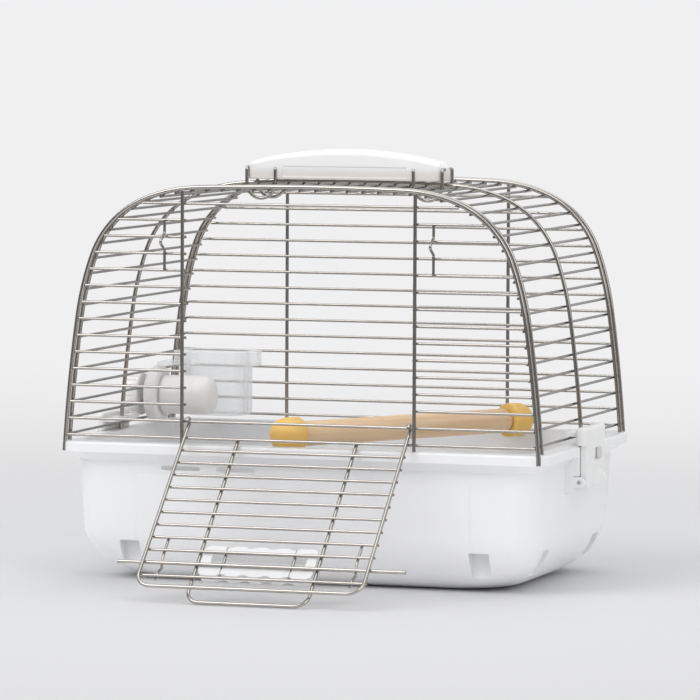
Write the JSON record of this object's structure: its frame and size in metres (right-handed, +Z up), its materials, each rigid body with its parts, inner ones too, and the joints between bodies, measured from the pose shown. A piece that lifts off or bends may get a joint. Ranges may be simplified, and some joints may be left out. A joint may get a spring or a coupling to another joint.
{
  "type": "bird travel carrier",
  "caption": "Small bird travel carrier: wire cage with arched roof on a moulded tub, drop-down wire door with spring latch, carry handle, side clips, perch and clamp-on cup.",
  "frame": {"origin": "middle of the tub's flat underside", "axes": "+X along the long side to the right as seen from the door, +Y from the door to the back, +Z up"},
  "size_m": [0.3765, 0.3436, 0.311],
  "materials": {
    "tub_plastic": "lightly grained white moulding",
    "handle_plastic": "smooth white",
    "clip_plastic": "smooth white",
    "cage_wire": "bright plated wire",
    "pin_steel": "drawn",
    "cap_rubber": "matt yellow",
    "perch_wood": "sanded, unvarnished",
    "feeder_plastic": "smooth white",
    "cup_plastic": "clear"
  },
  "bodies": {
    "cage": {"back_body_arch": "cage_wire", "back_frame_arch": "cage_wire", "back_panel_bars": "cage_wire", "back_perch_cap": "cap_rubber", "back_row_wires": "cage_wire", "base_tub": "tub_plastic", "doorway_bars": "cage_wire", "feeder_clamp_flange": "feeder_plastic", "feeder_clamp_knob": "feeder_plastic", "feeder_clamp_screw": "feeder_plastic", "front_body_arch": "cage_wire", "front_frame_arch": "cage_wire", "front_perch_cap": "cap_rubber", "front_sill_rows": "cage_wire", "front_top_row": "cage_wire", "left_clip_pin": "pin_steel", "left_door_catch": "cage_wire", "left_front_rows": "cage_wire", "left_shoulder_wires": "cage_wire", "left_side_wires": "cage_wire", "middle_arch": "cage_wire", "right_clip_pin": "pin_steel", "right_door_catch": "cage_wire", "right_front_rows": "cage_wire", "right_shoulder_wires": "cage_wire", "right_side_wires": "cage_wire", "roof_wires": "cage_wire"},
    "door": {"door_frame": "cage_wire", "door_stiffener": "cage_wire", "door_row_wires": "cage_wire", "latch_guides": "cage_wire"},
    "latch": {"latch_rod": "cage_wire", "pull_link_wires": "cage_wire", "latch_pull": "handle_plastic"},
    "handle": {"handle_grip": "handle_plastic", "left_handle_clip": "cage_wire", "right_handle_clip": "cage_wire"},
    "left_clip": {"left_side_clip": "clip_plastic"},
    "right_clip": {"right_side_clip": "clip_plastic"},
    "perch": {"perch_dowel": "perch_wood"},
    "feeder_nut": {"feeder_clamp_nut": "feeder_plastic"},
    "feeder_cup_body": {"feeder_cup": "cup_plastic"}
  },
  "joints": [
    {"name": "door_hinge", "type": "hinge", "parent": "cage", "child": "door", "pos_m": [0, -0.1133, 0.118], "axis": [-1, 0, 0], "range_deg": [0, 133.4], "deforming": ["left_door_catch", "right_door_catch"]},
    {"name": "latch_slide", "type": "slide", "parent": "door", "child": "latch", "axis": [0, 0.7266, 0.6871], "range_m": [0, 0.004], "stiffness_N_per_m": 400},
    {"name": "handle_lift", "type": "slide", "parent": "cage", "child": "handle", "axis": [0, 0, 1], "range_m": [0, 0.003]},
    {"name": "left_clip_hinge", "type": "hinge", "parent": "cage", "child": "left_clip", "pos_m": [-0.1837, 0, 0.0755], "axis": [0, -1, 0], "range_deg": [0, 70]},
    {"name": "right_clip_hinge", "type": "hinge", "parent": "cage", "child": "right_clip", "pos_m": [0.1837, 0, 0.0755], "axis": [0, 1, 0], "range_deg": [0, 70]},
    {"name": "perch_turn", "type": "hinge", "parent": "cage", "child": "perch", "pos_m": [0.04295, 0, 0.109], "axis": [0.5216, 0.8532, 0], "continuous": true},
    {"name": "feeder_nut_turn", "type": "hinge", "parent": "cage", "child": "feeder_nut", "pos_m": [-0.18, 0.045, 0.12423], "axis": [-1, 0, 0], "continuous": true},
    {"name": "feeder_cup_lift", "type": "slide", "parent": "cage", "child": "feeder_cup_body", "axis": [0, 0, 1], "range_m": [0, 0.025]}
  ]
}
